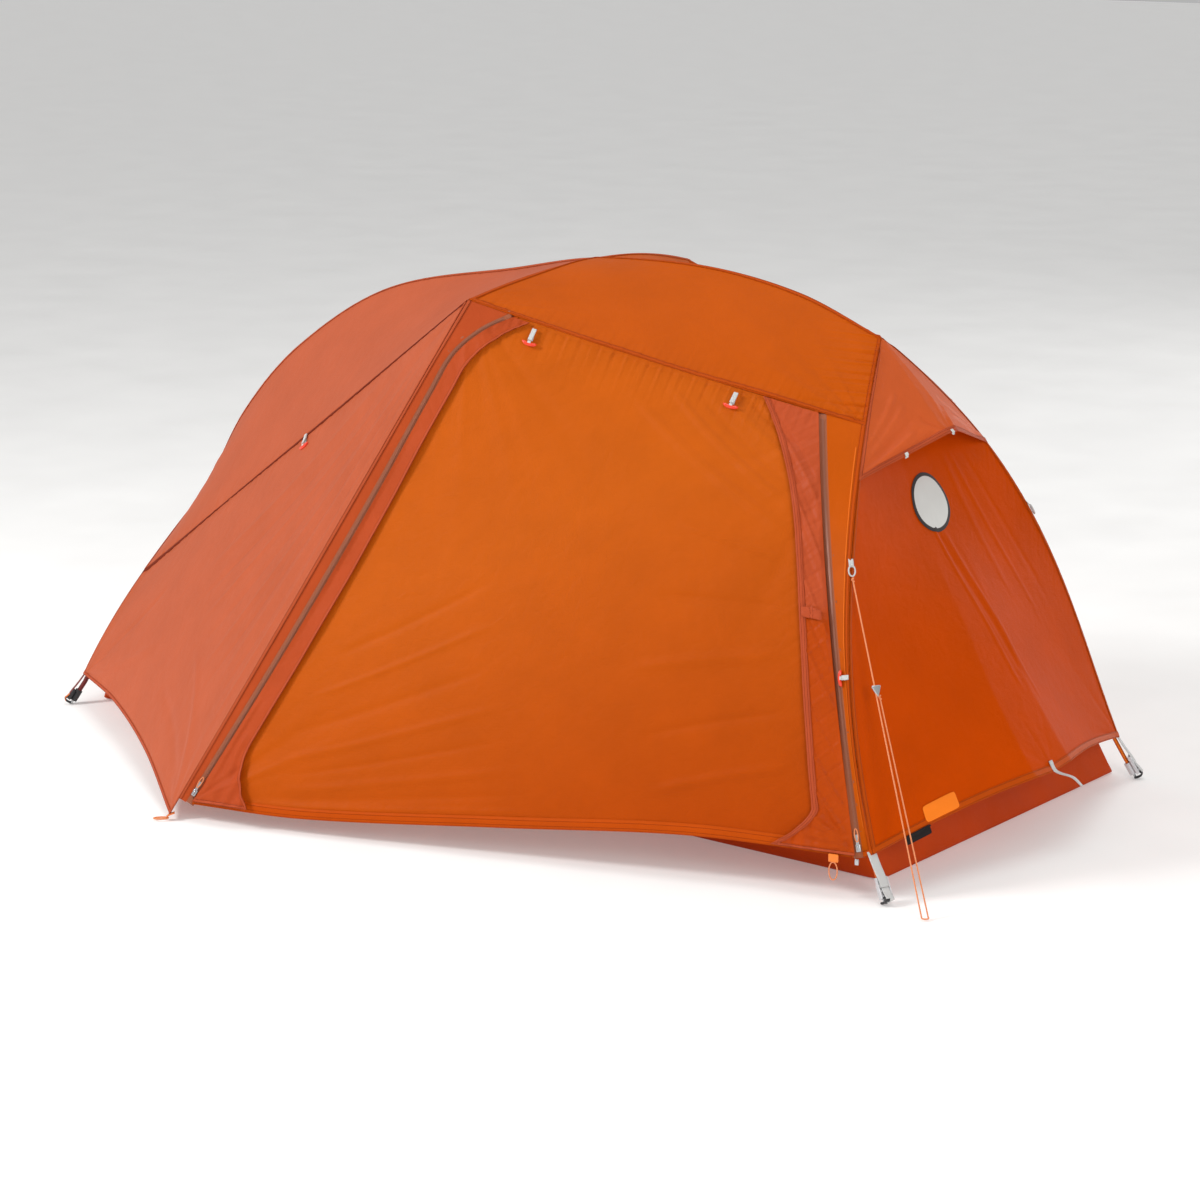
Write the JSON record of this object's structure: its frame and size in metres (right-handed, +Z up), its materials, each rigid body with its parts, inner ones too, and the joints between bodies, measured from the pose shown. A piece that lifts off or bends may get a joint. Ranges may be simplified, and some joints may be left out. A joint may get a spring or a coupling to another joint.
{
  "type": "backpacking tent",
  "caption": "One-person freestanding tent: hubbed pole frame, orange rain fly with a zipped vestibule door, vent hood, guy line, and an inner tent with a bathtub floor.",
  "frame": {"origin": "on the ground, on the underside of the bathtub floor, under the middle of the pole frame", "axes": "+X towards the head end, -Y towards the vestibule door, +Z up"},
  "size_m": [2.5088, 1.5584, 1.125],
  "materials": {
    "fly_amber": "thin silicone-coated ripstop nylon, amber orange, slightly translucent",
    "fly_coral": "thin silicone-coated ripstop nylon, coral orange, slightly translucent",
    "floor_red": "coated ripstop nylon, dark red orange",
    "inner_cream": "breathable ripstop nylon and mesh, cream",
    "pole_orange": "orange anodised tube",
    "alloy_grey": "satin",
    "hub_black": "moulded",
    "webbing_silver": "woven webbing, silver grey",
    "zip_brown": "coil zip on woven tape",
    "toggle_red": "moulded, red orange",
    "cord_orange": "braided cord, reflective fleck"
  },
  "bodies": {
    "tent": {"back_wall": "fly_amber", "bathtub_floor": "floor_red", "brow_pole": "pole_orange", "brow_swivel": "hub_black", "corner_buckle_foot_back": "hub_black", "corner_buckle_foot_front": "hub_black", "corner_buckle_head_back": "hub_black", "corner_buckle_head_front": "hub_black", "corner_strap_foot_back": "webbing_silver", "corner_strap_foot_front": "webbing_silver", "corner_strap_head_back": "webbing_silver", "corner_strap_head_front": "webbing_silver", "foot_hub": "hub_black", "foot_leg_back": "pole_orange", "foot_leg_front": "pole_orange", "foot_roof_back": "fly_coral", "foot_roof_front": "fly_coral", "foot_wall": "fly_coral", "guy_line": "cord_orange", "guy_loop_back": "webbing_silver", "guy_loop_front": "webbing_silver", "head_hub": "hub_black", "head_leg_lower_back": "pole_orange", "head_leg_lower_front": "pole_orange", "head_leg_upper_back": "pole_orange", "head_leg_upper_front": "pole_orange", "head_roof_back": "fly_amber", "head_roof_front": "fly_amber", "head_wall": "fly_amber", "head_wall_pull_strap": "webbing_silver", "inner_back_wall": "inner_cream", "inner_foot_wall": "inner_cream", "inner_front_wall": "inner_cream", "inner_head_wall": "inner_cream", "pole_tip_foot_back": "alloy_grey", "pole_tip_foot_front": "alloy_grey", "pole_tip_head_back": "alloy_grey", "pole_tip_head_front": "alloy_grey", "spine_pole_foot": "pole_orange", "spine_pole_head": "pole_orange", "spine_pole_middle": "pole_orange", "vent_hood": "fly_coral", "vestibule_foot_panel": "fly_coral", "vestibule_stake_loop": "cord_orange", "zip_left": "zip_brown", "zip_right": "zip_brown", "zip_strip_left": "fly_coral", "zip_strip_right": "fly_amber"},
    "vestibule_door": {"vestibule_door": "fly_amber", "storm_flap_left": "fly_coral", "storm_flap_right": "fly_coral"},
    "door_toggle_left": {"toggle_door_left": "toggle_red"},
    "door_toggle_right": {"toggle_door_right": "toggle_red"},
    "foot_seam_toggle": {"toggle_foot_seam": "toggle_red"},
    "side_zip_toggle": {"toggle_side_zip": "toggle_red"},
    "left_zip_slider": {"zip_slider_left": "alloy_grey"},
    "right_zip_slider": {"zip_slider_right": "alloy_grey"},
    "inner_door": {"inner_door": "inner_cream"},
    "vent_prop": {"vent_prop": "hub_black"},
    "line_tensioner": {"line_tensioner": "alloy_grey"}
  },
  "joints": [
    {"name": "vestibule_door_swing", "type": "hinge", "parent": "tent", "child": "vestibule_door", "pos_m": [0.0446, -0.4048, 1.0694], "axis": [-0.9359, -0.2606, 0.2372], "range_deg": [0, 80]},
    {"name": "left_zip_travel", "type": "hinge", "parent": "tent", "child": "left_zip_slider", "pos_m": [-11.53856, -2.76408, 5.74514], "axis": [0.3165, -0.8871, 0.336], "range_deg": [0, 4.2]},
    {"name": "right_zip_travel", "type": "hinge", "parent": "tent", "child": "right_zip_slider", "pos_m": [0.52234, 1.33965, -0.39224], "axis": [-0.9162, -0.3379, -0.2155], "range_deg": [0, 24.02]},
    {"name": "inner_door_swing", "type": "hinge", "parent": "tent", "child": "inner_door", "pos_m": [-0.52017, -0.28352, 0.42185], "axis": [-0.2052, 0.3662, 0.9076], "range_deg": [0, 40]},
    {"name": "vent_prop_fold", "type": "hinge", "parent": "tent", "child": "vent_prop", "pos_m": [0.87, 0, 0.837], "axis": [0, 1, 0], "range_deg": [0, 60]},
    {"name": "toggle_door_left_flip", "type": "hinge", "parent": "vestibule_door", "child": "door_toggle_left", "pos_m": [0.195, -0.37553, 1.01458], "axis": [-0.9373, -0.2436, 0.2492], "range_deg": [0, 110]},
    {"name": "toggle_door_right_flip", "type": "hinge", "parent": "vestibule_door", "child": "door_toggle_right", "pos_m": [0.62122, -0.26063, 0.90853], "axis": [-0.9398, -0.2598, 0.2222], "range_deg": [0, 110]},
    {"name": "toggle_foot_seam_flip", "type": "hinge", "parent": "tent", "child": "foot_seam_toggle", "pos_m": [-0.48589, -0.32254, 0.71139], "axis": [-0.8238, 0.1419, -0.5489], "range_deg": [0, 110]},
    {"name": "toggle_side_zip_flip", "type": "hinge", "parent": "tent", "child": "side_zip_toggle", "pos_m": [1.01857, -0.45129, 0.41644], "axis": [-0.2524, 0.2996, 0.9201], "range_deg": [0, 110]},
    {"name": "tensioner_slide", "type": "slide", "parent": "tent", "child": "line_tensioner", "axis": [-0.4218, 0.2874, 0.8599], "range_m": [0, 0.12]}
  ]
}
